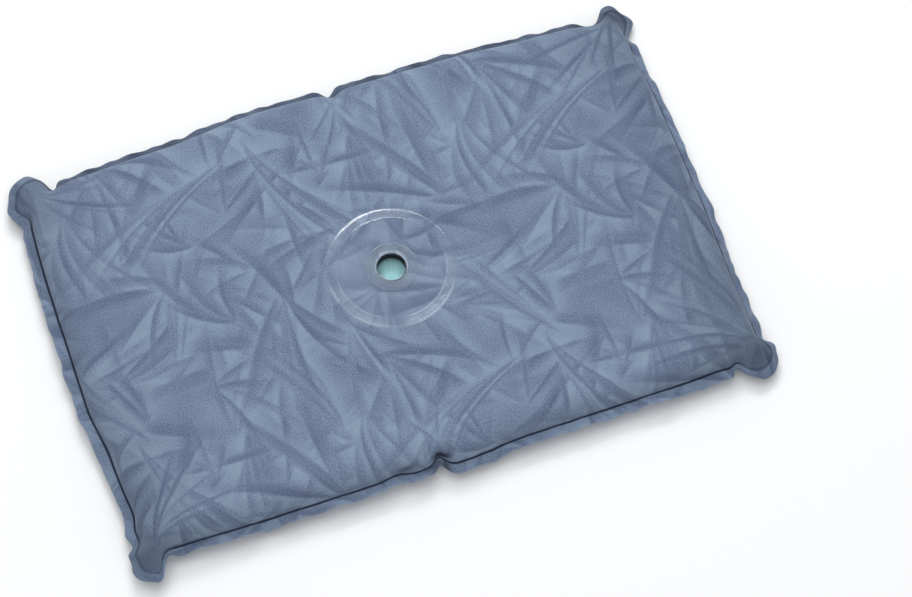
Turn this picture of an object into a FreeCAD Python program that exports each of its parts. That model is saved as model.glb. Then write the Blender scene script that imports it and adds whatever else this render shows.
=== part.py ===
"""Camp pillow: a flat welded pad with a foam core and a clear fill port in its upper face.

Two flocked sheets are welded together all round. The weld leaves a flat flange outside the seam, with a
rounded ear at each corner. A foam slab lies inside, on the lower sheet, and a clear vinyl port opens into
the space above it. Millimetres, +Z up, X along the long side, origin at the middle of the underside.
"""
import FreeCAD, Part
import os

# Driving dimensions
SEAM_LENGTH = 550.0      # weld seam to weld seam, along X
SEAM_DEPTH = 348.0       # weld seam to weld seam, along Y
SEAM_CORNER = 20.0       # radius of the padded body's upright corners
SEAM_HEIGHT = 16.0       # the seam's height above the surface the pillow lies on
TOP_HEIGHT = 39.0        # the upper face's height above that surface
SKIN = 0.8               # thickness of one coated sheet
TOP_ROLL = 21.0          # radius of the upper face's rolled edge
BOTTOM_ROLL = 14.0       # radius of the underside's rolled edge

FLANGE_WIDTH = 11.0      # flat weld outside the seam
FLANGE_CORNER = 12.0     # the flange outline's own corner radius, under the ears
EAR_RADIUS = 22.0        # rounded corner lobe
EAR_INSET = 7.0          # the lobe's centre, in from the seam's corner along X and Y

FOAM_HEIGHT = 26.0       # top of the foam core, which lies on the lower sheet
FOAM_MARGIN = 18.0       # the core's edge, in from the seam
FOAM_ROLL = 9.0          # radius of the core's long edges

PORT_BORE = 12.0         # radius of the fill opening
PORT_WALL = 2.0          # wall of the neck
PORT_FLANGE = 22.5       # radius of the port's flange
PORT_FLANGE_THICKNESS = 1.2
PORT_NECK_DEPTH = 9.0    # the neck's full length, from the flange's upper face down
PATCH_RADIUS = 56.0      # clear disc welded round the port
PATCH_THICKNESS = 0.5
NECK_GAP = 0.3           # round the neck, where it passes through the sheet and the disc

FLANGE_LENGTH = SEAM_LENGTH + 2 * FLANGE_WIDTH
FLANGE_DEPTH = SEAM_DEPTH + 2 * FLANGE_WIDTH
PATCH_TOP = TOP_HEIGHT + PATCH_THICKNESS
PORT_TOP = PATCH_TOP + PORT_FLANGE_THICKNESS
CLEARANCE_RADIUS = PORT_BORE + PORT_WALL + NECK_GAP


def rounded_slab(length, depth, corner, low, high):
    """A flat slab centred on the Z axis, with rounded upright corners."""
    slab = Part.makeBox(length, depth, high - low, FreeCAD.Vector(-length / 2, -depth / 2, low))
    upright = [edge for edge in slab.Edges if abs(edge.tangentAt(edge.FirstParameter).z) > 0.9]
    return slab.makeFillet(corner, upright)


def roll_edges(slab, radius, height):
    """Round over the edges that lie at one height."""
    rim = [edge for edge in slab.Edges
           if abs(edge.BoundBox.ZMin - height) < 1e-6 and abs(edge.BoundBox.ZMax - height) < 1e-6]
    return slab.makeFillet(radius, rim)


def disc(radius, low, high):
    """A cylinder on the port's axis."""
    return Part.makeCylinder(radius, high - low, FreeCAD.Vector(0, 0, low))


def padded_half(inset, far_height, roll):
    """The space between the seam's level and one face, drawn in from the outer surface by inset."""
    low = min(SEAM_HEIGHT, far_height)
    high = max(SEAM_HEIGHT, far_height)
    body = rounded_slab(SEAM_LENGTH - 2 * inset, SEAM_DEPTH - 2 * inset, SEAM_CORNER - inset, low, high)
    return roll_edges(body, roll - inset, far_height)


def weld_layer(low, high):
    """One sheet's half of the welded flange, with an ear at each corner."""
    layer = rounded_slab(FLANGE_LENGTH, FLANGE_DEPTH, FLANGE_CORNER, low, high)
    for side_x in (-1, 1):
        for side_y in (-1, 1):
            centre_x = side_x * (SEAM_LENGTH / 2 - EAR_INSET)
            centre_y = side_y * (SEAM_DEPTH / 2 - EAR_INSET)
            ear = Part.makeCylinder(EAR_RADIUS, high - low, FreeCAD.Vector(centre_x, centre_y, low))
            layer = layer.fuse(ear)
    return layer.removeSplitter()


def make_top_skin():
    outside = padded_half(0.0, TOP_HEIGHT, TOP_ROLL)
    inside = padded_half(SKIN, TOP_HEIGHT - SKIN, TOP_ROLL)
    sheet = outside.fuse(weld_layer(SEAM_HEIGHT, SEAM_HEIGHT + SKIN)).cut(inside)
    return sheet.cut(disc(CLEARANCE_RADIUS, SEAM_HEIGHT, PORT_TOP)).removeSplitter()


def make_bottom_skin():
    outside = padded_half(0.0, 0.0, BOTTOM_ROLL)
    inside = padded_half(SKIN, SKIN, BOTTOM_ROLL)
    return outside.fuse(weld_layer(SEAM_HEIGHT - SKIN, SEAM_HEIGHT)).cut(inside).removeSplitter()


def make_foam_core():
    length = SEAM_LENGTH - 2 * FOAM_MARGIN
    depth = SEAM_DEPTH - 2 * FOAM_MARGIN
    core = rounded_slab(length, depth, SEAM_CORNER, SKIN, FOAM_HEIGHT)
    return roll_edges(roll_edges(core, FOAM_ROLL, FOAM_HEIGHT), FOAM_ROLL, SKIN)


def make_port_patch():
    return disc(PATCH_RADIUS, TOP_HEIGHT, PATCH_TOP).cut(disc(CLEARANCE_RADIUS, TOP_HEIGHT, PATCH_TOP))


def make_port_fitting():
    bottom = PORT_TOP - PORT_NECK_DEPTH
    body = disc(PORT_FLANGE, PATCH_TOP, PORT_TOP).fuse(disc(PORT_BORE + PORT_WALL, bottom, PORT_TOP))
    return body.cut(disc(PORT_BORE, bottom, PORT_TOP)).removeSplitter()


PARTS = {
    "top_skin": make_top_skin,
    "bottom_skin": make_bottom_skin,
    "foam_core": make_foam_core,
    "port_patch": make_port_patch,
    "port_fitting": make_port_fitting,
}

os.makedirs("parts", exist_ok=True)
for name, make in PARTS.items():
    shape = make()
    box = shape.BoundBox
    print(name, "valid" if shape.isValid() else "INVALID", "solids", len(shape.Solids),
          "volume", round(shape.Volume / 1000, 1), "ml", "z", round(box.ZMin, 2), round(box.ZMax, 2))
    shape.exportStep("parts/" + name + ".step")
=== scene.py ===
"""Camp pillow: the looks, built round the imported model. Metres, in the model's own frame."""
import math
from contextlib import contextmanager

import bmesh
import bpy
import numpy as np
from mathutils import Matrix, Vector


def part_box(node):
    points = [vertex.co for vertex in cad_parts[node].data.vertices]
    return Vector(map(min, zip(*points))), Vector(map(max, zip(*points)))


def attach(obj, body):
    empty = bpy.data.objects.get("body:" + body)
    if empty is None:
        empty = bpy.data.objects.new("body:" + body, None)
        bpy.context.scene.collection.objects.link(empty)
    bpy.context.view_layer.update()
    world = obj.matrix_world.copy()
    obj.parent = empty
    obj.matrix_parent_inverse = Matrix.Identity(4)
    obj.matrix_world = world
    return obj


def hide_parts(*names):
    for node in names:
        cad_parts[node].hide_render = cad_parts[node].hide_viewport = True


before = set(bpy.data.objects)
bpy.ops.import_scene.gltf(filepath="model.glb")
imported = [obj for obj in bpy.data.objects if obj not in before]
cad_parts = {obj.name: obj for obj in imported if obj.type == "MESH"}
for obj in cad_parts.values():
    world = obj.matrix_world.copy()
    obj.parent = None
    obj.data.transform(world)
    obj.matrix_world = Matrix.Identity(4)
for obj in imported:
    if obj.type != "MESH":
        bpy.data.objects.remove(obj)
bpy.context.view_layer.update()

MM = 0.001

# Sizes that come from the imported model
skin_low, skin_high = np.array(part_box("top_skin"))
patch_low, patch_high = np.array(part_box("port_patch"))
port_low, port_high = np.array(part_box("port_fitting"))
foam_low, foam_high = np.array(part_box("foam_core"))

# The padded body and its weld
EAR_REACH = 15 * MM  # a corner ear's tip, out from the seam
SEAM_X = skin_high[0] - EAR_REACH  # half the seam's length
SEAM_Y = skin_high[1] - EAR_REACH  # half the seam's depth
SEAM_LEVEL = skin_low[2]
TOP_LEVEL = skin_high[2]
FLANGE = 11 * MM  # width of the flat weld outside the seam
SHEET = 0.8 * MM  # thickness of one sheet
ROLL = 20 * MM  # the padding's rounded edge, seen in plan
PULL = (math.pi / 2 - 1) * ROLL  # how far filling the pad draws the seam in
FLAT_X = SEAM_X + PULL  # the same seam on the sheet before it was filled
FLAT_Y = SEAM_Y + PULL
FLAT_CORNER = 26 * MM  # radius of the seam's corners on the flat sheet
CELL = 3 * MM  # spacing of the simulated sheet's points
FLANGE_ROWS = 4  # rows of points across it
EAR_START = 16 * MM  # along each side, an ear runs from its tip to its neck
EAR_NECK = 33 * MM
CORNERS = ((-1, -1), (1, -1), (1, 1), (-1, 1))  # the sides of X and Y that each corner is on
# How sharply each ear is notched, by corner: along the left or right side, then along the near or far side
NOTCHES = {(-1, -1): (0.3, 0.4), (1, -1): (0.0, 0.8), (1, 1): (0.5, 0.1), (-1, 1): (0.1, 0.8)}
# How far each ear sits out from where the plain sheet would put it, along X and along Y
EAR_SHIFTS = {(-1, -1): (-6.5 * MM, 3 * MM), (1, -1): (0.5 * MM, -3 * MM),
              (1, 1): (-2 * MM, 4.5 * MM), (-1, 1): (-3 * MM, 3.5 * MM)}
BULGE = 2.5 * MM  # how far the padded side leans out over its seam
CROWN = 2.5 * MM  # the upper face's fall from its middle to its edges
PORT_FLAT = 60 * MM  # the upper face stays level this far round the port

# The crease left by folding the pillow across its middle: where it meets the near and far seams
FOLDS = ((-17 * MM, -1, 8 * MM), (7 * MM, 1, 4 * MM))  # place along X, side of Y, depth of the pinch
FOLD_REACH = 7 * MM  # how far along the side each pinch spreads
# The folds' pockets, darkened with painted shade, in mm and degrees: place along X, inset from the seam, side
# of Y, length, width, slant, darkness
POCKET_PAINTED_SHADES = ((-16, 11, -1, 6, 3.7, 10, 2.2), (-8, 17, -1, 5, 2, 60, 0.7), (-46, 9, -1, 9, 4, 22, 0.9),
           (7, 9, 1, 6, 3, 50, 0.8))
# Painted shade where the flange folds under, in mm: place along X, reach, side of Y, darkness
TUCKED_PAINTED_SHADE = ((-23, 9, -1, 0.5), (-11.5, 2.2, -1, 0.9))

# In mm: how far each side of the filled pad swells out of the straight, at places along it
SIDE_SWELL = {
    (0, -1): ((-240, -4.5), (0, -4), (240, -3.5)),
    (0, 1): ((-240, 0), (-150, 3.5), (-60, 11), (20, 9), (115, 8.5), (190, 4), (240, 2)),
    (-1, 0): ((-150, -7.5), (-80, -5.5), (-30, 0), (150, 0)),
    (1, 0): ((-150, -2), (-95, -3), (-20, 0), (70, 0.5), (150, -1)),
}
# In mm: each ear's own outline, as places out from the seam's corner and how far each one is pulled outward
EAR_PULLS = {
    (-1, -1): (((10, -38), (-1, 2)), ((3, -19), (0, 1)), ((13, -4), (-7, -2)), ((8, 9), (1, 2)),
               ((-12, 19), (3, 0)), ((-24, 5), (1, -3))),
    (1, -1): (((17, -13), (-8, 0)), ((9, 5), (-2, 0)), ((-8, 15), (0, -1)), ((-20, 2), (-8, 1))),
    (1, 1): (((-15, 18), (5, -5)), ((2, 18), (2, 0)), ((13, -10), (-3, 4)), ((0, -20), (4, 2))),
    (-1, 1): (((-20, 5), (-8, 3)), ((-2, 19), (1, 3)), ((15, -5), (-2, 1)), ((8, -17), (2, -6))),
}
# The same for the near pinch, as places from the middle of the near seam
PINCH_PULLS = (((-52, 7), (0, -3)), ((-38, -1), (0, 2.5)), ((-19, 5), (0, 4.5)), ((-6, 5), (-1.5, 6.5)),
               ((9, 5), (0, 5.5)), ((24, 5), (0, 3.5)), ((40, 6), (0, 1)))
PULL_REACH = 9 * MM  # how far round its place each of these pulls spreads
NEAR_NARROW = 0.21  # how much narrower the near side's flange is
RIPPLE = 3.4 * MM  # height of the flange's waves at its edge
DROOP = 22  # degrees that the flange hangs below level
TUCKED_DROOP = 74  # and where it is tucked down

# How dark the sheet is painted with shade, where the light falls off or the sheet turns from it: on the far
# flange, at the right and left ends, at the corners, and on each ear
FAR_PAINTED_SHADE = 0.9
END_PAINTED_SHADES = (0.26, 0.15)
CORNER_PAINTED_SHADE = 0.16
EAR_PAINTED_SHADES = {(-1, -1): 0.20, (1, -1): 0.13, (1, 1): 0.40, (-1, 1): 0.18}

# The filling simulation
SIM_FRAMES = 24
MAX_MOVE = 14 * MM  # the furthest it may move a point from the first guess
CLOTH_SETTINGS = dict(
    quality=6, mass=0.05, pin_stiffness=2.0, air_damping=3, use_pressure=True, uniform_pressure_force=40,
    tension_stiffness=30, compression_stiffness=30, shear_stiffness=12, bending_stiffness=0.25,
    tension_damping=12, compression_damping=12, shear_damping=12, bending_damping=1.0,
)

# The crushed finish is one pattern repeated over the sheet, each row shifted sideways
REPEAT_X = np.array([350.0, -17.0]) * MM
REPEAT_Y = np.array([-167.0, -233.0]) * MM
FINISH_SEED = 12
BROAD_FANS = (5, 4)  # columns and rows of broad fans in one repeat
SMALL_FANS = (6, 6)  # and of smaller ones
SWEEPS = 7  # long narrow fans in one repeat
EDGE_SOFT = 1.1 * MM  # half the width over which a fold's edge changes tone
RELIEF = 0.08 * MM  # height of the finish's ridges over its creases

# The fill port: a clear ring welded on a clear disc, itself welded over the hole in the upper sheet
BORE = 12 * MM  # the port's bore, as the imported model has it
NECK = 13 * MM  # the outside of its neck
SHEET_HOLE = 13.2 * MM  # the hole in the sheet and in the disc, round the neck
WELD_LINE = 47 * MM  # the line inside which the disc lies free on the sheet
# The rings where the vinyl shows more, in mm: from one radius to another, softness of the edges, strength
DISC_RINGS = ((53.2, 60, 1.2, 0.15), (47.2, 60, 0.5, 0.05), (46.3, 47.3, 0.35, 0.14))
PORT_RINGS = ((21.4, 24, 0.6, 0.10), (12.4, 14.2, 0.4, 0.14))
DISC_FILM = 0.008  # how much the plain vinyl shows
PORT_FILM = 0.075

FOAM_ROLL = 12 * MM  # the foam core's rounded edge
FOAM_CLEARANCE = 0.5 * MM  # the least room between the foam and the lower sheet

# The nap's colours from its darkest crease to its lightest ridge, and the flange's, in linear light
NAP_COLOURS = (
    (0.087, 0.115, 0.196),
    (0.116, 0.155, 0.240),
    (0.153, 0.203, 0.296),
    (0.193, 0.256, 0.355),
    (0.228, 0.300, 0.397),
)
NAP_GRAIN = 0.8  # how much of the tone's range the nap's grain takes
FLANGE_DARK = (0.100, 0.137, 0.218)
FLANGE_LIGHT = (0.210, 0.277, 0.385)
EDGE_COLOUR = (0.290, 0.370, 0.500)
# Near-black for painted shade: in the crease beside the seam, and wherever the sheet is painted darker
PAINTED_SHADE_COLOUR = (0.010, 0.015, 0.036)
VINYL_COLOUR = (0.43, 0.54, 0.70)
VINYL_ROUGHNESS = 0.13
# Near-black painted on the port's neck, for the shade inside the pad
NECK_PAINTED_SHADE = (0.004, 0.005, 0.007)
# The foam's pores are painted darker, for the shade inside them
FOAM_PORE_SHADE = (0.31, 0.64, 0.70)
FOAM_WALL = (0.46, 0.82, 0.88)
FOAM_CLOUD = (0.40, 0.74, 0.81)

# How fine each noise is, in features per metre
CLOUD_SCALE = 45
NAP_SCALE = 620
WEAVE_SCALE = 2600
VINYL_UNEVEN_SCALE = 24
VINYL_RIPPLE_SCALE = 60
FOAM_PORE_SCALE = 850
FOAM_CLOUD_SCALE = 90

# The floor lies just under the sheet, so that the two don't coincide
FLOOR_LEVEL = -0.2 * MM
FLOOR_SIZE = 12
FLOOR_COLOUR = (0.93, 0.93, 0.93, 1)

# The studio's lights: name, place, size in metres, and power in watts. All of them point at the origin.
LIGHTS = (
    ("top", (-0.3, 0.45, 2.6), 2.8, 34),
    ("key", (0.22, 1.5, 1.85), 0.6, 10),
    ("rim", (0.8, 1.3, 1.85), 0.5, 7),
    ("fill", (0.3, -2.4, 2.2), 2.2, 12),
)
WORLD_LIGHT = 0.46
WORLD_COLOUR = (0.95, 0.97, 1.0, 1)

# The camera: degrees, metres, and a lens in mm for the sensor's width in mm
CAMERA_BEARING = -20.3
CAMERA_HEIGHT = 65.5
CAMERA_ROLL = 1.1
CAMERA_PAN = 1.43
CAMERA_DISTANCE = 2.2
CAMERA_AIM = (-6.2 * MM, -17.3 * MM, 16 * MM)
LENS = 102.6
SENSOR_WIDTH = 36


def smoothstep(low, high, value):
    share = np.clip((value - low) / (high - low), 0.0, 1.0)
    return share * share * (3 - 2 * share)


def bell(distance, reach):
    """1 at no distance, falling smoothly to almost nothing at twice the reach."""
    return np.exp(-(distance / reach) ** 2)


def smooth_noise(x, y, size, seed):
    """Smooth random values from -1 to 1, varying over a distance of size."""
    rng = np.random.default_rng(seed)
    total = np.zeros_like(x)
    for _ in range(10):
        angle, phase = rng.uniform(0, 2 * math.pi, 2)
        stretch = rng.uniform(0.7, 1.5)
        turn = 2 * math.pi * stretch / size
        total += np.sin((x * math.cos(angle) + y * math.sin(angle)) * turn + phase)
    return total / 4.5


def eased(place, knots):
    """A smooth curve through knots given in mm: its value in metres at each place."""
    at, value = np.array(knots, float).T * MM
    index = np.clip(np.searchsorted(at, place) - 1, 0, len(at) - 2)
    share = smoothstep(0, 1, (place - at[index]) / (at[index + 1] - at[index]))
    return value[index] + (value[index + 1] - value[index]) * share


def fan(rng, point, heading, spread, count, lengths, widths):
    """Folds that open from one point, each a tuple that crush() draws."""
    folds = []
    common_bend = rng.normal(0, 0.22)
    lit = rng.choice((-1, 1))
    for k in range(count):
        angle = heading + spread * (k / (count - 1) - 0.5) + rng.normal(0, 0.06)
        folds.append((point + rng.normal(0, 2.0, 2) * MM, angle, rng.uniform(*lengths) * MM,
                      rng.uniform(*widths) * MM, common_bend + rng.normal(0, 0.06), rng.uniform(0.25, 0.95),
                      lit if rng.uniform() < 0.8 else -lit, rng.uniform(0.3, 0.95)))
    return folds


def fans(rng, columns, rows, sizes):
    """Open fans spread evenly over one repeat."""
    found = []
    for column in range(columns):
        for row in range(rows):
            point = ((column + rng.uniform(0, 1)) / columns) * REPEAT_X
            point = point + ((row + rng.uniform(0, 1)) / rows) * REPEAT_Y
            size = rng.uniform(*sizes)
            found.append(fan(rng, point, rng.uniform(0, 2 * math.pi), math.radians(rng.uniform(30, 100)),
                             rng.integers(3, 6), (40 * size, 92 * size), (3.5 * size, 9.0 * size)))
    return found


def crush_folds(rng):
    """One repeat's folds, in the order they are laid: broad ones, then smaller fans and long sweeps."""
    broad = fans(rng, *BROAD_FANS, (1.5, 2.0))
    folds = fans(rng, *SMALL_FANS, (0.7, 1.6))
    for _ in range(SWEEPS):
        point = rng.uniform(0, 1) * REPEAT_X + rng.uniform(0, 1) * REPEAT_Y
        folds.append(fan(rng, point, rng.uniform(0, 2 * math.pi), math.radians(rng.uniform(8, 22)), 4,
                         (110, 190), (3.0, 7.5)))
    mixed = broad + [folds[number] for number in rng.permutation(len(folds))]
    return [fold for group in mixed for fold in group]


def strain_folds(rng):
    """Folds that pull out of the ears, the mid fold's pinches and the port's weld."""
    folds = []
    for side_x, side_y in CORNERS:
        point = np.array([side_x * (FLAT_X - 24 * MM), side_y * (FLAT_Y - 22 * MM)])
        heading = math.atan2(-side_y * SEAM_Y, -side_x * SEAM_X)
        folds += fan(rng, point, heading, math.radians(56), 5, (60, 120), (2.2, 4.6))
    for place, side, _ in FOLDS:
        point = np.array([place, side * (FLAT_Y - 22 * MM)])
        folds += fan(rng, point, -side * math.pi / 2, math.radians(80), 4, (25, 60), (1.8, 3.6))
    right, left = np.array([20, -2]) * MM, np.array([-18, -16]) * MM
    folds += fan(rng, right, math.radians(-8), math.radians(14), 3, (60, 95), (1.2, 2.4))
    folds += fan(rng, left, math.radians(205), math.radians(25), 2, (40, 70), (1.4, 2.6))
    return folds


def lay(tone, x, y, fold, place):
    """Draw one fold on the tone: dark inside, with a light ridge past its far edge."""
    _, angle, length, width, bend, depth, lit, light = fold
    if abs(place[0]) > FLAT_X + length or abs(place[1]) > FLAT_Y + length:
        return
    near = np.flatnonzero((np.abs(x - place[0]) < 1.1 * length) & (np.abs(y - place[1]) < 1.1 * length))
    dx, dy = x[near] - place[0], y[near] - place[1]
    cos, sin = math.cos(angle), math.sin(angle)
    along = (dx * cos + dy * sin) / length
    across = (dy * cos - dx * sin - bend * length * along ** 2) * lit
    inside = (along > 0) & (along < 1) & (np.abs(across) < 30 * MM)
    near, along, across = near[inside], along[inside], across[inside]
    half = width * 1.6 * along ** 0.7 * (1 - 0.55 * along) + 0.4 * MM
    u = across / half
    shown = smoothstep(0, 0.1, along) * (1 - smoothstep(0.45, 1.0, along))
    cover = smoothstep(-EDGE_SOFT, EDGE_SOFT, half - np.abs(across)) * shown
    cover = cover * smoothstep(-1.1, 0.1, u)
    value = -depth * smoothstep(-0.7, 0.8, u) + 0.06 * np.sin(u * 8 + depth * 20)
    t = tone[near] * (1 - cover) + value * cover
    beyond = across - half
    ridge = np.where(beyond > 0, np.exp(-beyond / (7 * MM)), bell(beyond, EDGE_SOFT))
    t += (0.85 * light - 0.35 * np.maximum(t, 0)) * ridge * shown
    tone[near] = t


def crush(x, y, strained):
    """The finish's tone at points of the flat sheet, from -1 in the darkest folds to 1 on the ridges."""
    rng = np.random.default_rng(FINISH_SEED)
    tone = 0.25 * smooth_noise(x, y, 60 * MM, 31)
    for fold in crush_folds(rng):
        for i in range(-2, 3):
            for j in range(-2, 3):
                lay(tone, x, y, fold, fold[0] + i * REPEAT_X + j * REPEAT_Y)
    if strained:
        for fold in strain_folds(rng):
            lay(tone, x, y, fold, fold[0])
    return tone


def grid_quads(index):
    """The faces between neighbouring points of a grid of point numbers."""
    corners = [index[:-1, :-1], index[1:, :-1], index[1:, 1:], index[:-1, 1:]]
    return np.stack(corners, -1).reshape(-1, 4)


class SheetPair:
    """The two sheets and their weld flange as one net of points, flat and filled."""

    def __init__(self):
        self.columns, self.rows = 2 * round(FLAT_X / CELL), 2 * round(FLAT_Y / CELL)
        self.make_grid()
        self.make_rim()
        self.make_faces()

    def make_grid(self):
        across = np.linspace(-FLAT_X, FLAT_X, self.columns + 1)
        along = np.linspace(-FLAT_Y, FLAT_Y, self.rows + 1)
        square_x, square_y = [part.ravel() for part in np.meshgrid(across, along, indexing="ij")]
        self.side_x, self.side_y = np.sign(square_x), np.sign(square_y)
        self.in_x, self.in_y = FLAT_X - np.abs(square_x), FLAT_Y - np.abs(square_y)
        corner_x = np.clip(1 - self.in_x / FLAT_CORNER, 0, 1)
        corner_y = np.clip(1 - self.in_y / FLAT_CORNER, 0, 1)
        trim_x = corner_x * (1 - np.sqrt(1 - corner_y ** 2 / 2)) * FLAT_CORNER
        trim_y = corner_y * (1 - np.sqrt(1 - corner_x ** 2 / 2)) * FLAT_CORNER
        self.flat_x = square_x - self.side_x * trim_x
        self.flat_y = square_y - self.side_y * trim_y

    def make_rim(self):
        """The seam's points in order round the pad, and the outward direction at each."""
        c, r = self.columns, self.rows
        loop = [(i, 0) for i in range(c)] + [(c, j) for j in range(r)]
        loop += [(i, r) for i in range(c, 0, -1)] + [(0, j) for j in range(r, 0, -1)]
        self.seam = np.array([i * (r + 1) + j for i, j in loop])
        self.rim_x, self.rim_y = x, y = self.flat_x[self.seam], self.flat_y[self.seam]
        out_x = x - np.clip(x, -FLAT_X + FLAT_CORNER, FLAT_X - FLAT_CORNER)
        out_y = y - np.clip(y, -FLAT_Y + FLAT_CORNER, FLAT_Y - FLAT_CORNER)
        length = np.hypot(out_x, out_y)
        self.out = np.stack([out_x / length, out_y / length], 1)

    def make_faces(self):
        c, r = self.columns, self.rows
        index = np.arange((c + 1) * (r + 1)).reshape(c + 1, r + 1)
        self.top_count = index.size
        self.top_faces = grid_quads(index)
        lower = np.full(index.size, -1)
        lower[self.seam] = self.seam
        self.inner = np.flatnonzero(lower < 0)
        lower[self.inner] = self.top_count + np.arange(self.inner.size)
        self.bottom_faces = lower[self.top_faces][:, ::-1]
        self.flange_start = self.top_count + self.inner.size
        n = self.seam.size
        rings = [self.seam] + [self.flange_start + k * n + np.arange(n) for k in range(FLANGE_ROWS)]
        strips = []
        for inside, outside in zip(rings[:-1], rings[1:]):
            strips.append(np.stack([inside, outside, np.roll(outside, -1), np.roll(inside, -1)], 1))
        self.flange_faces = np.concatenate(strips)
        self.count = self.flange_start + FLANGE_ROWS * n

    def flat(self):
        """The sheets laid flat, as they were cut and welded."""
        x = np.concatenate([self.flat_x, self.flat_x[self.inner]])
        y = np.concatenate([self.flat_y, self.flat_y[self.inner]])
        points = [np.stack([x, y, np.zeros_like(x)], 1)]
        seam = points[0][self.seam]
        for k in range(1, FLANGE_ROWS + 1):
            step = np.zeros_like(seam)
            step[:, :2] = self.out * FLANGE * k / FLANGE_ROWS
            points.append(seam + step)
        return np.concatenate(points)

    def inset(self):
        """How far each point lies inside the seam; negative out on the flange."""
        pad = np.minimum(self.in_x, self.in_y)
        rims = [np.full(self.seam.size, -FLANGE * k / FLANGE_ROWS) for k in range(1, FLANGE_ROWS + 1)]
        return np.concatenate([pad, pad[self.inner]] + rims)

    def spread(self, upper, rim):
        """Values for the whole net, from the upper sheet's and from those all across the flange."""
        return np.concatenate([upper, upper[self.inner]] + [rim] * FLANGE_ROWS)

    def at_corner(self, side_x, side_y):
        """Which points of the upper sheet are in one corner's quarter."""
        return (self.side_x == side_x) & (self.side_y == side_y)

    def beside(self, side):
        """Which of the seam's points run along the near or the far side."""
        return (self.side_y[self.seam] == side) & (self.in_y[self.seam] < 1 * MM)

    def crease(self):
        """How dark the painted shade in the crease beside the seam is: dark along the sides, faint round the
        ears.
        """
        corner = np.maximum(self.in_x, self.in_y)
        share = smoothstep(EAR_NECK - 8 * MM, EAR_NECK + 12 * MM, corner)
        share = share * (0.75 + 0.25 * smooth_noise(self.flat_x, self.flat_y, 60 * MM, 21)) + 0.45
        return np.clip(self.spread(share, share[self.seam]), 0, 1)

    def pocket_shade(self):
        """How dark the painted shade in the mid fold's pockets is."""
        total = np.zeros_like(self.flat_x)
        for place, inset, side, length, width, slant, dark in POCKET_PAINTED_SHADES:
            away_x, away_y = self.flat_x - place * MM, self.in_y - inset * MM
            cos, sin = math.cos(math.radians(slant)), math.sin(math.radians(slant))
            along, across = away_x * cos + away_y * sin, away_y * cos - away_x * sin
            total += dark * bell(along, length * MM) * bell(across, width * MM) * (self.side_y == side)
        return total

    def flange_painted_shade(self):
        """How dark the flange is painted with shade: all along the far side, and where it folds under."""
        far = np.clip(self.out[:, 1], 0, 1) * smoothstep(EAR_START, EAR_NECK, self.in_x[self.seam])
        total = FAR_PAINTED_SHADE * far * (0.8 + 0.2 * smooth_noise(self.rim_x, self.rim_y, 40 * MM, 23))
        for place, reach, side, dark in TUCKED_PAINTED_SHADE:
            total += dark * bell(self.rim_x - place * MM, reach * MM) * self.beside(side)
        return total

    def painted_shading(self):
        """Where the sheet is painted darker with shade: the mid fold's pockets, the far flange, the two ends,
        the corners and the ears.
        """
        # Painted shade where the light falls off towards the ends and corners, and on the ears that turn from
        # it
        out_x, out_y = np.abs(self.flat_x) / FLAT_X, np.abs(self.flat_y) / FLAT_Y
        nearness = smoothstep(-0.2, 0.6, -self.flat_y / FLAT_Y)
        end = np.where(self.flat_x > 0, *END_PAINTED_SHADES) * smoothstep(0.6, 1.0, out_x) * (1 + 0.55 * nearness)
        corner = CORNER_PAINTED_SHADE * smoothstep(0.5, 1.0, out_x) * smoothstep(0.3, 1.0, out_y)
        ear = np.zeros_like(end)
        for sides, dark in EAR_PAINTED_SHADES.items():
            ear[self.at_corner(*sides)] = dark
        ear *= 1 - smoothstep(EAR_START, EAR_NECK, np.maximum(self.in_x, self.in_y))
        total = self.pocket_shade() + end + corner + ear
        rim = self.flange_painted_shade() + (0.4 * (end + corner) + ear)[self.seam]
        return self.spread(total, rim)

    def notch(self, which):
        """Each point's corner's notch: 0 for the left and right sides, 1 for the near and far sides."""
        depth = np.zeros_like(self.flat_x)
        for sides, notches in NOTCHES.items():
            depth[self.at_corner(*sides)] = notches[which]
        return depth

    def drawn_in(self, inset, along, notch):
        """How far one side's seam and padding are drawn in: deepest at an ear's neck, none at its tip."""
        arc = ROLL * math.pi / 2
        bent = np.minimum(inset, arc)
        run = bent - ROLL * (1 - np.cos(bent / ROLL))
        neck = 0.4 * notch * bell(along - EAR_NECK, 7 * MM) * (1 - smoothstep(0, arc, inset))
        lean = BULGE * np.sin(math.pi * bent / arc) * smoothstep(EAR_NECK, 2 * EAR_NECK, along)
        return (PULL - run) * smoothstep(EAR_START, EAR_NECK, along) + PULL * neck - lean

    def fold_line(self, y):
        """The mid fold's place along X at a given Y."""
        near, far = FOLDS[0][0], FOLDS[1][0]
        return near + (far - near) * (y + SEAM_Y) / (2 * SEAM_Y)

    def corner_folds(self, x, y):
        """Small folds in the upper sheet that fan out from each ear's neck towards the middle."""
        total = np.zeros_like(x)
        for number, (side_x, side_y) in enumerate(CORNERS):
            away_x, away_y = SEAM_X - side_x * x, SEAM_Y - side_y * y
            reach = np.hypot(away_x, away_y)
            angle = np.arctan2(away_y, away_x)
            wave = np.sin(angle * 9 + number * 2.1) + 0.6 * np.sin(angle * 17 + number * 4.7)
            span = smoothstep(16 * MM, 40 * MM, reach) * (1 - smoothstep(55 * MM, 130 * MM, reach))
            inside = (away_x > 0) & (away_y > 0)
            total += wave * span * inside
        return total

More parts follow.
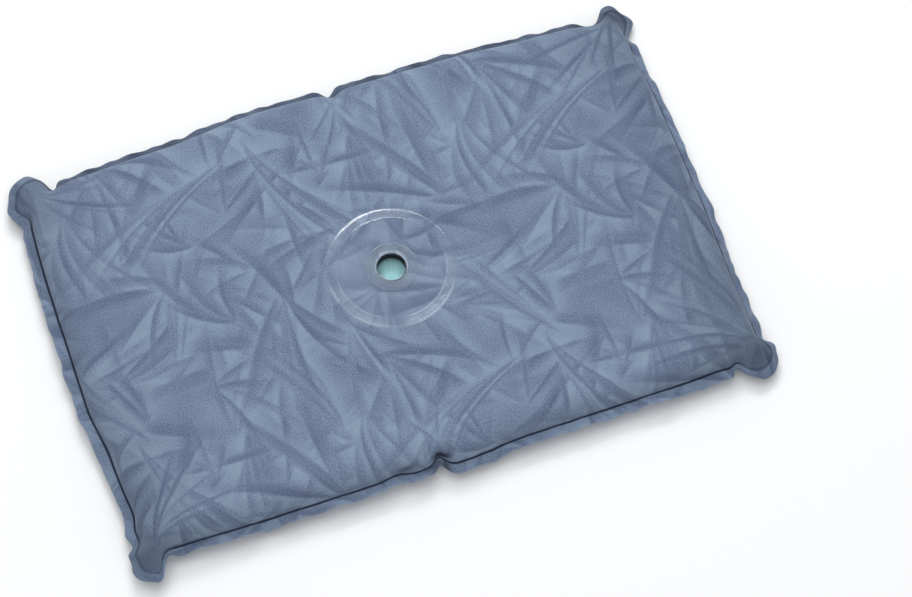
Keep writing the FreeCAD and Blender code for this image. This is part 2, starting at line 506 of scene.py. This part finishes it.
    def filled(self):
        """A first guess at the filled shape: flat faces, rolled edges, and ears at the corners."""
        x = self.flat_x - self.side_x * self.drawn_in(self.in_x, self.in_y, self.notch(0))
        y = self.flat_y - self.side_y * self.drawn_in(self.in_y, self.in_x, self.notch(1))
        corner = np.maximum(self.in_x, self.in_y)
        ear = 1 - smoothstep(0.3 * EAR_NECK, EAR_NECK + 14 * MM, corner)
        for (side_x, side_y), (shift_x, shift_y) in EAR_SHIFTS.items():
            here = ear * self.at_corner(side_x, side_y)
            x = x + side_x * shift_x * here
            y = y + side_y * shift_y * here
        arc = ROLL * math.pi / 2
        rise = np.sin(np.minimum(self.in_x, arc) / ROLL) * np.sin(np.minimum(self.in_y, arc) / ROLL)
        rise *= 0.6 + 0.4 * smoothstep(12 * MM, 52 * MM, np.hypot(self.in_x, self.in_y))
        for place, side, depth in FOLDS:
            here = self.side_y == side
            near = bell(self.flat_x - place, FOLD_REACH) * here
            y = y - side * depth * near * (1 - smoothstep(0, 34 * MM, self.in_y))
            rise = rise * (1 - 0.22 * near * (1 - smoothstep(10 * MM, 70 * MM, self.in_y)))
            groove = bell(self.flat_x - place - 0.35 * self.in_y, 3.5 * MM) * here
            rise = rise * (1 - 0.4 * groove * (1 - smoothstep(4 * MM, 30 * MM, self.in_y)))
        loose = smoothstep(PORT_FLAT, 1.5 * PORT_FLAT, np.hypot(x, y))
        crown = CROWN * (1 - (1 - (x / SEAM_X) ** 2) * (1 - (y / SEAM_Y) ** 2))
        wander = smooth_noise(x, y, 150 * MM, 5) * 0.8 * MM + self.corner_folds(x, y) * 0.7 * MM
        valley = 0.9 * MM * bell(x - self.fold_line(y), 9 * MM)
        top = SEAM_LEVEL + (TOP_LEVEL - SEAM_LEVEL + (wander - crown - valley) * loose) * rise
        bottom = SEAM_LEVEL * (1 - rise)
        points = [np.stack([x, y, top], 1), np.stack([x, y, bottom], 1)[self.inner]]
        return np.concatenate(points + self.filled_flange(points[0][self.seam]))

    def filled_flange(self, seam):
        """The flange's rings, outward from the seam: drooping, rippled, tucked down at ears and pinches."""
        out_x, out_y = self.out.T
        in_x, in_y = self.in_x[self.seam], self.in_y[self.seam]
        notch = np.where(in_x < in_y, self.notch(0)[self.seam], self.notch(1)[self.seam])
        tuck = (0.15 + 0.85 * notch) * bell(np.maximum(in_x, in_y) - EAR_NECK, 6.5 * MM)
        for place, side, _ in FOLDS:
            tuck = np.maximum(tuck, 0.6 * bell(self.rim_x - place, FOLD_REACH) * self.beside(side))
        right, far, near = np.clip(out_x, 0, 1), np.clip(out_y, 0, 1), np.clip(-out_y, 0, 1)
        droop = np.radians(DROOP + 4 * far + 10 * right - 8 * near)
        droop = droop + tuck * (np.radians(TUCKED_DROOP) - droop)

        def waves(height, size, seed):
            return height * smooth_noise(self.rim_x, self.rim_y, size * MM, seed)

        ripple = waves(0.8, 52, 11) + waves(0.6, 27, 12) + waves(0.25, 15, 14)
        edge = 1 + waves(0.09, 33, 13) + waves(0.04, 14, 15)
        edge = edge * (1 - near * (NEAR_NARROW - 0.1 * self.rim_x / FLAT_X))
        rings = []
        for k in range(1, FLANGE_ROWS + 1):
            share = k / FLANGE_ROWS
            reach = FLANGE * share * edge * (1 - 0.25 * tuck)
            angle = droop * (0.6 + 0.4 * share)
            step = np.stack([out_x * np.cos(angle), out_y * np.cos(angle), -np.sin(angle)], 1)
            step *= reach[:, None]
            step[:, 2] += ripple * RIPPLE * share * (1 - 0.5 * tuck)
            rings.append(seam + step)
        return rings

    def swelled(self, points):
        """The settled shape, its sides swelled out of the straight, with its ears' and pinch's outlines."""
        moved = np.zeros((self.top_count, 2))
        for (side_x, side_y), knots in SIDE_SWELL.items():
            if side_x:
                here, inset, other, place = self.side_x == side_x, self.in_x, self.in_y, self.flat_y
            else:
                here, inset, other, place = self.side_y == side_y, self.in_y, self.in_x, self.flat_x
            share = (1 - smoothstep(0, 70 * MM, inset)) * here
            share *= smoothstep(EAR_NECK - 5 * MM, EAR_NECK + 25 * MM, other)
            moved += (eased(place, knots) * share)[:, None] * (side_x, side_y)
        moved = self.spread(moved, moved[self.seam])
        total = np.zeros_like(moved)
        weight = np.full((self.count, 1), 0.25)
        groups = [((side_x * SEAM_X, side_y * SEAM_Y), (side_x, side_y), pulls)
                  for (side_x, side_y), pulls in EAR_PULLS.items()]
        for origin, outward, pulls in groups + [((0, -SEAM_Y), (1, -1), PINCH_PULLS)]:
            for place, move in pulls:
                away = points[:, :2] - np.array(origin) - np.array(place) * MM * outward
                near = np.exp(-(away ** 2).sum(1, keepdims=True) / PULL_REACH ** 2)
                total += near * np.array(move) * MM * outward
                weight += near
        points = points.copy()
        points[:, :2] += moved + total / weight
        return points

    def attributes(self):
        """What the materials read at each point."""
        return {"flat": self.flat(), "inset": self.inset(), "crease": self.crease(), "shade": self.painted_shading()}

    def hold(self):
        """How firmly each point is held to the first guess: the broad faces are, the edges aren't."""
        inset = np.minimum(self.in_x, self.in_y)
        corner = np.hypot(self.in_x, self.in_y)
        share = smoothstep(20 * MM, 70 * MM, inset) * smoothstep(50 * MM, 120 * MM, corner)
        weight = self.spread(share, np.zeros(self.seam.size))
        for place, side, _ in FOLDS:
            pinch = (np.abs(self.rim_x - place) < 5 * MM) & self.beside(side)
            weight[self.seam[pinch]] = 1.0
        return weight


def mesh_object(name, points, faces):
    mesh = bpy.data.meshes.new(name)
    mesh.from_pydata([tuple(p) for p in points], [], [tuple(int(i) for i in f) for f in faces])
    mesh.update()
    obj = bpy.data.objects.new(name, mesh)
    bpy.context.scene.collection.objects.link(obj)
    return obj


def read(items, name, width=3):
    """One row of numbers for each of a mesh's vertices, normals or attribute values."""
    values = np.zeros(len(items) * width)
    items.foreach_get(name, values)
    return values.reshape(-1, width)


@contextmanager
def edited(obj):
    """An object's mesh, open for editing."""
    bm = bmesh.new()
    bm.from_mesh(obj.data)
    yield bm
    bm.to_mesh(obj.data)
    bm.free()


def simulate(net):
    """Fill the welded sheets with Blender's cloth solver and return the settled points."""
    start = net.filled()
    faces = np.concatenate([net.top_faces, net.bottom_faces, net.flange_faces])
    obj = mesh_object("fill_simulation", start, faces)
    obj.shape_key_add(name="Basis")
    flat = obj.shape_key_add(name="flat")
    flat.data.foreach_set("co", net.flat().ravel())
    hold = obj.vertex_groups.new(name="hold")
    for index, weight in enumerate(net.hold()):
        if weight > 0:
            hold.add([index], float(weight), "REPLACE")
    air = obj.vertex_groups.new(name="air")
    air.add(list(range(net.flange_start)), 1.0, "REPLACE")
    cloth = obj.modifiers.new("cloth", "CLOTH")
    settings = cloth.settings
    for name, value in CLOTH_SETTINGS.items():
        setattr(settings, name, value)
    settings.effector_weights.gravity = 0
    settings.vertex_group_pressure = "air"
    settings.vertex_group_mass = "hold"
    settings.rest_shape_key = flat
    cloth.collision_settings.use_collision = False
    cloth.collision_settings.use_self_collision = False
    cloth.point_cache.frame_start = 1
    cloth.point_cache.frame_end = SIM_FRAMES
    scene = bpy.context.scene
    for number in range(1, SIM_FRAMES + 1):
        scene.frame_set(number)
    settled = obj.evaluated_get(bpy.context.evaluated_depsgraph_get()).to_mesh()
    points = read(settled.vertices, "co")
    bpy.data.objects.remove(obj)
    scene.frame_set(1)
    move = points - start
    distance = np.linalg.norm(move, axis=1, keepdims=True)
    points = start + move * np.minimum(1, MAX_MOVE / np.maximum(distance, 1e-9))
    points[:, 2] = np.maximum(points[:, 2], 0)
    return points


def attribute(mesh, name, values):
    """Store one value, or one vector, per point for the materials to read."""
    vector = values.ndim == 2
    layer = mesh.attributes.new(name, "FLOAT_VECTOR" if vector else "FLOAT", "POINT")
    layer.data.foreach_set("vector" if vector else "value", values.astype(np.float32).ravel())


def smooth_shading(mesh):
    mesh.polygons.foreach_set("use_smooth", [True] * len(mesh.polygons))


def subdivided(obj):
    """Replace an object's mesh by its subdivision surface."""
    modifier = obj.modifiers.new("smooth", "SUBSURF")
    modifier.levels = modifier.render_levels = 1
    depsgraph = bpy.context.evaluated_depsgraph_get()
    mesh = bpy.data.meshes.new_from_object(obj.evaluated_get(depsgraph))
    obj.modifiers.clear()
    obj.data = mesh
    return mesh


def turn_down_edges(obj, depth):
    """Give a sheet's free edges its thickness: a strip down from each, towards its inner side."""
    def place(vert):
        return tuple(round(c, 7) for c in vert.co)

    with edited(obj) as bm:
        bm.normal_update()
        edges = [edge for edge in bm.edges if edge.is_boundary]
        normals = {place(vert): vert.normal.copy() for edge in edges for vert in edge.verts}
        made = bmesh.ops.extrude_edge_only(bm, edges=edges)
        for item in made["geom"]:
            if isinstance(item, bmesh.types.BMVert):
                item.co -= normals[place(item)] * depth
        bmesh.ops.recalc_face_normals(bm, faces=bm.faces)


def cut_round_hole(obj, radius):
    """Open a true circle on the Z axis in a sheet: clear the faces inside it and snap the rest to it."""
    with edited(obj) as bm:
        inside = [face for face in bm.faces if face.calc_center_median().xy.length < radius]
        bmesh.ops.delete(bm, geom=inside, context="FACES")
        for vert in bm.verts:
            distance = vert.co.xy.length
            if distance < 2 * radius and vert.is_boundary:
                scale = radius / distance
                vert.co.x *= scale
                vert.co.y *= scale


def port_wave(x, y):
    """The gentle unevenness that the sheet and the clear disc over it share round the port."""
    reach = np.hypot(x, y)
    wave = 0.35 * MM * smooth_noise(x, y, 60 * MM, 71)
    return wave * smoothstep(24 * MM, 44 * MM, reach)


def level_round_port(co):
    """Bring the upper sheet to the clear disc's level wherever the disc lies on it."""
    reach = np.hypot(co[:, 0], co[:, 1])
    free = smoothstep(patch_high[0], patch_high[0] + 26 * MM, reach)
    lying = TOP_LEVEL - 0.05 * MM + port_wave(co[:, 0], co[:, 1])
    co[:, 2] = co[:, 2] * free + lying * (1 - free)


def keep_under_foam(co):
    """Press the lower sheet down wherever it would rise into the foam core."""
    middle, half = (foam_low[2] + foam_high[2]) / 2, (foam_high[2] - foam_low[2]) / 2
    rise = slab_rise(co[:, 0], co[:, 1], foam_high, FOAM_ROLL)
    under = np.where(rise > 0, middle - half * rise - FOAM_CLEARANCE, np.inf)
    co[:, 2] = np.minimum(co[:, 2], under)


def make_skin(name, net, points, upper):
    """One welded sheet: its padded face and its layer of the flange, with the crushed finish in relief."""
    faces = net.top_faces if upper else net.bottom_faces
    flange = net.flange_faces if upper else net.flange_faces[:, ::-1]
    faces = np.concatenate([faces, flange])
    used = np.unique(faces)
    place = np.full(net.count, -1)
    place[used] = np.arange(used.size)
    obj = mesh_object(name, points[used], place[faces])
    for key, values in net.attributes().items():
        attribute(obj.data, key, values[used])
    mesh = subdivided(obj)
    flat = read(mesh.attributes["flat"].data, "vector")
    inset = read(mesh.attributes["inset"].data, "value", 1).ravel()
    normals = read(mesh.vertex_normals, "vector")
    co = read(mesh.vertices, "co")
    if upper:
        level_round_port(co)
        tone = crush(flat[:, 0], flat[:, 1], strained=True)
        bare = smoothstep(patch_high[0] - 2 * MM, patch_high[0] + 3 * MM, np.hypot(co[:, 0], co[:, 1]))
    else:
        tone = crush(-flat[:, 0], flat[:, 1] + 0.1, strained=False)
        bare = 1.0
        keep_under_foam(co)
    on_pad = smoothstep(0, 8 * MM, inset)
    lift = RELIEF * np.clip(tone, -1, 1) * (0.3 + 0.7 * on_pad) * bare
    lift += SHEET * (1 - smoothstep(-1.5 * MM, 1.5 * MM, inset))
    co += normals * lift[:, None]
    co[:, 2] = np.maximum(co[:, 2], 0)
    mesh.vertices.foreach_set("co", co.ravel())
    attribute(mesh, "tone", tone)
    mesh.update()
    if upper:
        cut_round_hole(obj, SHEET_HOLE)
    turn_down_edges(obj, SHEET)
    smooth_shading(obj.data)
    return obj


def lathe(name, profile, segments, wave=None):
    """A closed ring round the Z axis from a profile of radius and height, with a wave added to its height."""
    angles = np.linspace(0, 2 * math.pi, segments, endpoint=False)
    radius, height = np.array(profile).T
    x, y = np.cos(angles)[:, None] * radius, np.sin(angles)[:, None] * radius
    z = np.broadcast_to(height, x.shape).copy()
    if wave is not None:
        z += wave(x, y)
    points = np.stack([x, y, z], -1).reshape(-1, 3)
    index = np.arange(segments * len(profile)).reshape(segments, -1)
    obj = mesh_object(name, points, grid_quads(np.pad(index, ((0, 1), (0, 1)), "wrap")))
    with edited(obj) as bm:
        bmesh.ops.recalc_face_normals(bm, faces=bm.faces)
    smooth_shading(obj.data)
    return obj


def make_disc():
    """The clear disc over the hole: flat, with a fine groove inside its weld and a soft edge."""
    low, high = patch_low[2], patch_high[2]
    edge = patch_high[0]
    profile = [(SHEET_HOLE, low), (SHEET_HOLE, high)]
    profile += [(radius * MM, high) for radius in (18, 22, 26, 30, 34, 38, 42)]
    profile += [(WELD_LINE - 1 * MM, high), (WELD_LINE - 0.2 * MM, high - 0.07 * MM),
                (WELD_LINE + 0.6 * MM, high - 0.07 * MM), (WELD_LINE + 1.2 * MM, high - 0.04 * MM)]
    profile += [(edge - 4.0 * MM, high - 0.03 * MM), (edge - 2.4 * MM, high - 0.06 * MM),
                (edge - 1.2 * MM, high - 0.17 * MM), (edge - 0.4 * MM, high - 0.33 * MM),
                (edge, low + 0.04 * MM), (edge, low)]
    profile += [(radius * MM, low) for radius in (50, 44, 38, 30, 22)]
    return lathe("port_disc", profile, 256, port_wave)


def make_port():
    """The clear fill fitting: a flat welded collar and a short neck down into the pad."""
    top, foot, low = port_high[2], patch_high[2], port_low[2]
    rim = port_high[0]
    profile = [(BORE, low), (BORE, top - 0.5 * MM), (BORE + 0.15 * MM, top - 0.15 * MM),
               (BORE + 0.5 * MM, top), (BORE + 2.2 * MM, top), (BORE + 2.8 * MM, top - 0.12 * MM),
               (rim - 2.4 * MM, top - 0.3 * MM), (rim - 1.6 * MM, top - 0.16 * MM),
               (rim - 0.8 * MM, top - 0.2 * MM), (rim - 0.2 * MM, top - 0.6 * MM), (rim, foot + 0.3 * MM),
               (rim, foot + 0.02 * MM), (NECK + 0.8 * MM, foot + 0.02 * MM), (NECK, foot - 0.6 * MM),
               (NECK, low + 0.4 * MM), (NECK - 0.4 * MM, low)]
    return lathe("port_fitting_clear", profile, 192)


def slab_rise(x, y, high, roll):
    """A rounded slab's height at each place as a share of its full height, falling to none at its edge."""
    share_x = np.clip((high[0] - np.abs(x)) / roll, 0, 1)
    share_y = np.clip((high[1] - np.abs(y)) / roll, 0, 1)
    return np.sqrt(1 - (1 - share_x) ** 2) * np.sqrt(1 - (1 - share_y) ** 2)


def rounded_slab(name, low, high, roll):
    """A block of foam with full rounded sides, centred on the Z axis."""
    middle, half_z = (low[2] + high[2]) / 2, (high[2] - low[2]) / 2
    turn = roll * (1 - np.cos(np.linspace(0, math.pi / 2, 7)))

    def stations(half):
        plain = np.linspace(-half + roll, half - roll, 2 * round(half / (9 * MM)) + 1)
        return np.concatenate([-half + turn[:-1], plain, (half - turn[:-1])[::-1]])

    x, y = np.meshgrid(stations(high[0]), stations(high[1]), indexing="ij")
    quads = grid_quads(np.arange(x.size).reshape(x.shape))
    x, y = x.ravel(), y.ravel()
    rise = slab_rise(x, y, high, roll)
    wander = 0.3 * MM * smooth_noise(x, y, 40 * MM, 91) * rise
    lower = np.arange(x.size)
    inner = np.flatnonzero(rise > 0)
    lower[inner] = x.size + np.arange(inner.size)
    top = np.stack([x, y, middle + half_z * rise + wander], 1)
    bottom = np.stack([x, y, middle - half_z * rise], 1)[inner]
    obj = mesh_object(name, np.concatenate([top, bottom]), np.concatenate([quads, lower[quads][:, ::-1]]))
    smooth_shading(obj.data)
    return obj


class Nodes:
    """One material's nodes, added and joined in a line or two each."""

    def __init__(self, name):
        self.material = bpy.data.materials.new(name)
        self.material.use_nodes = True
        self.tree = self.material.node_tree
        self.tree.nodes.clear()
        output = self.add("OutputMaterial")
        self.shader = self.add("BsdfPrincipled")
        self.tree.links.new(self.shader.outputs[0], output.inputs[0])

    def put(self, node, inputs):
        """Link or set a node's inputs, each given by its name or number."""
        for key, value in inputs.items():
            if isinstance(value, bpy.types.NodeSocket):
                self.tree.links.new(value, node.inputs[key])
            elif value is not None:
                node.inputs[key].default_value = value

    def surface(self, inputs):
        self.put(self.shader, inputs)

    def add(self, kind, inputs={}, **settings):
        node = self.tree.nodes.new("ShaderNode" + kind)
        for name, value in settings.items():
            setattr(node, name, value)
        self.put(node, inputs)
        return node

    def attribute(self, name, output="Fac"):
        return self.add("Attribute", attribute_name=name).outputs[output]

    def math(self, operation, a, b=None, clamp=False):
        return self.add("Math", {0: a, 1: b}, operation=operation, use_clamp=clamp).outputs[0]

    def mapped(self, value, low, high, new_low=0.0, new_high=1.0, smooth=True):
        span = {"From Min": low, "From Max": high, "To Min": new_low, "To Max": new_high}
        kind = "SMOOTHSTEP" if smooth else "LINEAR"
        return self.add("MapRange", {"Value": value, **span}, interpolation_type=kind).outputs[0]

    def noise(self, vector, scale, detail, roughness=0.5):
        inputs = {"Vector": vector, "Scale": scale, "Detail": detail, "Roughness": roughness}
        return self.add("TexNoise", inputs).outputs[0]

    def stretched(self, vector, factors):
        return self.add("VectorMath", {0: vector, 1: factors}, operation="MULTIPLY").outputs[0]

    def cells(self, vector, scale):
        return self.add("TexVoronoi", {"Vector": vector, "Scale": scale}).outputs["Distance"]

    def ramp(self, value, colours):
        """Evenly spaced colours for values from 0 to 1."""
        node = self.add("ValToRGB", {0: value})
        elements = node.color_ramp.elements
        while len(elements) < len(colours):
            elements.new(0.5)
        for number, (element, colour) in enumerate(zip(elements, colours)):
            element.position = number / (len(colours) - 1)
            element.color = (*colour, 1)
        return node.outputs[0]

    def mix(self, share, a, b):
        a, b = [c if isinstance(c, bpy.types.NodeSocket) else (*c, 1) for c in (a, b)]
        node = self.add("Mix", data_type="RGBA")
        self.put(node, {0: share, 6: a, 7: b})
        return node.outputs[2]

    def bump(self, height, distance, strength, normal=None):
        inputs = {"Strength": strength, "Distance": distance, "Height": height, "Normal": normal}
        return self.add("Bump", inputs).outputs[0]

    def position(self):
        return self.add("TexCoord").outputs["Object"]

    def split_position(self):
        """The place's own x, y and z."""
        return self.add("SeparateXYZ", {0: self.position()}).outputs

    def radius(self):
        """Distance from the port's axis."""
        x, y, _ = self.split_position()
        return self.math("SQRT", self.math("ADD", self.math("POWER", x, 2.0), self.math("POWER", y, 2.0)))


def flocked_fabric():
    """Blue-grey sheet with a short flocked nap, crushed so that it lies lighter and darker in streaks, and
    with shade painted in the crease beside the seam, in the folds' pockets, on the far flange, and at the
    ends, corners and ears.
    """
    n = Nodes("flocked_sheet")
    flat = n.attribute("flat", "Vector")
    tone = n.attribute("tone")
    inset = n.attribute("inset")
    cloud = n.noise(flat, CLOUD_SCALE, 3)
    along = n.noise(n.stretched(flat, (1.0, 2.1, 1.0)), NAP_SCALE, 2, 0.6)
    across = n.noise(n.stretched(flat, (2.1, 1.0, 1.0)), NAP_SCALE, 2, 0.6)
    nap = n.math("MULTIPLY", n.math("ADD", along, across), 0.5)
    weave = n.noise(flat, WEAVE_SCALE, 1)
    creases = n.math("ADD", tone, n.mapped(cloud, 0.3, 0.7, -0.12, 0.12, smooth=False))
    value = n.math("ADD", creases, n.mapped(nap, 0.35, 0.65, -NAP_GRAIN, NAP_GRAIN, smooth=False))
    colour = n.ramp(n.mapped(value, -1, 1, smooth=False), NAP_COLOURS)
    on_flange = n.mapped(inset, -1.2 * MM, 0.2 * MM, 1.0, 0.0)
    edge_wear = n.mapped(inset, -FLANGE, -FLANGE + 2.0 * MM, 1.0, 0.0)
    flange = n.mix(n.mapped(value, -0.8, 0.8), FLANGE_DARK, FLANGE_LIGHT)
    flange = n.mix(n.math("MULTIPLY", edge_wear, 0.5), flange, EDGE_COLOUR)
    colour = n.mix(on_flange, colour, flange)
    # Painted shade: a dark line in the crease beside the seam
    from_seam = n.math("ABSOLUTE", n.math("ADD", inset, 0.3 * MM))
    line = n.math("SUBTRACT", 1.0, n.mapped(from_seam, 0.8 * MM, 2.0 * MM))
    crease = n.math("MULTIPLY", n.attribute("crease"), 0.96)
    colour = n.mix(n.math("MULTIPLY", line, crease), colour, PAINTED_SHADE_COLOUR)
    # Painted shade from the sheet's attribute: the folds' pockets, the far flange, the ends, the corners and
    # the ears
    shade = n.math("MULTIPLY", n.attribute("shade"), 0.85, clamp=True)
    colour = n.mix(shade, colour, PAINTED_SHADE_COLOUR)
    folded = n.bump(creases, 0.06 * MM, 0.5)
    soft = n.bump(nap, 0.25 * MM, 0.8, folded)
    n.surface({
        "Base Color": colour,
        "Roughness": 0.86,
        "Specular IOR Level": 0.25,
        "Sheen Weight": 0.12,
        "Sheen Roughness": 0.45,
        "Sheen Tint": (0.75, 0.85, 1.0, 1),
        "Normal": n.bump(weave, 0.08 * MM, 0.6, soft),
    })
    return n.material


def clear_vinyl(name, film, rings, neck_below=None):
    """Clear vinyl: faint, showing more where it is welded or edge-on, and painted near-black down a neck into
    the pad, for the shade inside it.
    """
    n = Nodes(name)
    radius = n.radius()
    alpha = film
    uneven = n.mapped(n.noise(n.position(), VINYL_UNEVEN_SCALE, 1), 0.36, 0.62, 0.25, 1.9)
    for inner, outer, soft, strength in rings:
        rise = n.mapped(radius, (inner - soft) * MM, (inner + soft) * MM)
        fall = n.mapped(radius, (outer - soft) * MM, (outer + soft) * MM, 1.0, 0.0)
        ring = n.math("MULTIPLY", n.math("MULTIPLY", rise, fall), strength)
        alpha = n.math("ADD", alpha, n.math("MULTIPLY", ring, uneven))
    facing = n.add("LayerWeight", {"Blend": 0.3}).outputs["Facing"]
    alpha = n.math("ADD", alpha, n.math("MULTIPLY", facing, 0.12), clamp=True)
    colour, roughness, coat = (*VINYL_COLOUR, 1), VINYL_ROUGHNESS, 1.0
    if neck_below is not None:
        # Painted shade: opaque near-black down the neck, where the pad's inside lies in shade
        neck_shade = n.mapped(n.split_position()[2], neck_below - 0.8 * MM, neck_below, 1.0, 0.0)
        neck_shade = n.math("MULTIPLY", neck_shade, n.mapped(radius, NECK + 0.3 * MM, NECK + 0.8 * MM, 1.0, 0.0))
        colour = n.mix(neck_shade, VINYL_COLOUR, NECK_PAINTED_SHADE)
        roughness = n.mapped(neck_shade, 0, 1, VINYL_ROUGHNESS, 0.9)
        coat = n.mapped(neck_shade, 0, 1, 1.0, 0.0)
        alpha = n.math("MAXIMUM", alpha, n.math("MULTIPLY", neck_shade, 0.97))
    n.surface({
        "Base Color": colour,
        "Roughness": roughness,
        "IOR": 1.5,
        "Coat Weight": coat,
        "Coat Roughness": 0.08,
        "Coat IOR": 1.9,
        "Alpha": alpha,
        "Normal": n.bump(n.noise(n.position(), VINYL_RIPPLE_SCALE, 2), 0.6 * MM, 0.5),
    })
    return n.material


def open_cell_foam():
    """Teal open-cell foam, with painted shade in its pores."""
    n = Nodes("open_cell_foam")
    place = n.position()
    pores = n.cells(place, FOAM_PORE_SCALE)
    cloud = n.mapped(n.noise(place, FOAM_CLOUD_SCALE, 3), 0.3, 0.7, 0.0, 0.25)
    # Painted shade: the pores darker than the foam's walls
    colour = n.mix(n.mapped(pores, 0.1, 0.5), FOAM_PORE_SHADE, FOAM_WALL)
    n.surface({
        "Base Color": n.mix(cloud, colour, FOAM_CLOUD),
        "Roughness": 0.95,
        "Specular IOR Level": 0.2,
        "Normal": n.bump(pores, 0.5 * MM, 0.8),
    })
    return n.material


def plain_floor():
    n = Nodes("pale_floor")
    n.surface({"Base Color": FLOOR_COLOUR, "Roughness": 0.9, "Specular IOR Level": 0.0})
    bpy.ops.mesh.primitive_plane_add(size=FLOOR_SIZE, location=(0, 0, FLOOR_LEVEL))
    floor = bpy.context.object
    floor.name = "floor"
    floor.data.materials.append(n.material)
    return floor


def softbox(name, place, size, power):
    data = bpy.data.lights.new(name, "AREA")
    data.shape = "DISK"
    data.size = size
    data.energy = power
    light = bpy.data.objects.new(name, data)
    light.location = place
    light.rotation_euler = (-Vector(place)).to_track_quat("-Z", "Y").to_euler()
    bpy.context.scene.collection.objects.link(light)


def studio():
    world = bpy.data.worlds.new("studio")
    world.use_nodes = True
    background = world.node_tree.nodes["Background"]
    background.inputs["Color"].default_value = WORLD_COLOUR
    background.inputs["Strength"].default_value = WORLD_LIGHT
    bpy.context.scene.world = world
    for light in LIGHTS:
        softbox(*light)


def photo_camera():
    """The camera at the photograph's viewing angle."""
    bearing, height = math.radians(CAMERA_BEARING), math.radians(CAMERA_HEIGHT)
    roll, pan = math.radians(CAMERA_ROLL), math.radians(CAMERA_PAN)
    level = math.cos(height)
    back = Vector((math.sin(bearing) * level, -math.cos(bearing) * level, math.sin(height)))
    right = Vector((math.cos(bearing), math.sin(bearing), 0))
    up = back.cross(right)
    across = math.cos(roll) * right + math.sin(roll) * up
    upright = -math.sin(roll) * right + math.cos(roll) * up
    turned = Matrix((across, upright, back)).transposed() @ Matrix.Rotation(-pan, 3, "Y")
    place = Vector(CAMERA_AIM) + back * CAMERA_DISTANCE
    data = bpy.data.cameras.new("camera")
    data.sensor_width = SENSOR_WIDTH
    data.lens = LENS
    camera = bpy.data.objects.new("camera", data)
    camera.matrix_world = Matrix.Translation(place) @ turned.to_4x4()
    bpy.context.scene.collection.objects.link(camera)
    bpy.context.scene.camera = camera


fabric = flocked_fabric()
foam = open_cell_foam()
disc_vinyl = clear_vinyl("clear_vinyl_disc", DISC_FILM, DISC_RINGS)
port_vinyl = clear_vinyl("clear_vinyl_port", PORT_FILM, PORT_RINGS, neck_below=port_high[2] - 1.2 * MM)

net = SheetPair()
settled = net.swelled(simulate(net))
top_skin = make_skin("top_sheet", net, settled, upper=True)
bottom_skin = make_skin("bottom_sheet", net, settled, upper=False)
core = rounded_slab("foam_slab", foam_low, foam_high, FOAM_ROLL)
disc = make_disc()
port = make_port()

for piece, node, material, slot in (
    (top_skin, "top_skin", fabric, "skin"),
    (bottom_skin, "bottom_skin", fabric, "skin"),
    (core, "foam_core", foam, "foam"),
    (disc, "port_patch", disc_vinyl, "clear_vinyl"),
    (port, "port_fitting", port_vinyl, "clear_vinyl"),
):
    piece.data.materials.append(material)
    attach(piece, "root")
    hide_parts(node)

plain_floor()
studio()
photo_camera()
bpy.context.scene.view_settings.view_transform = "Standard"
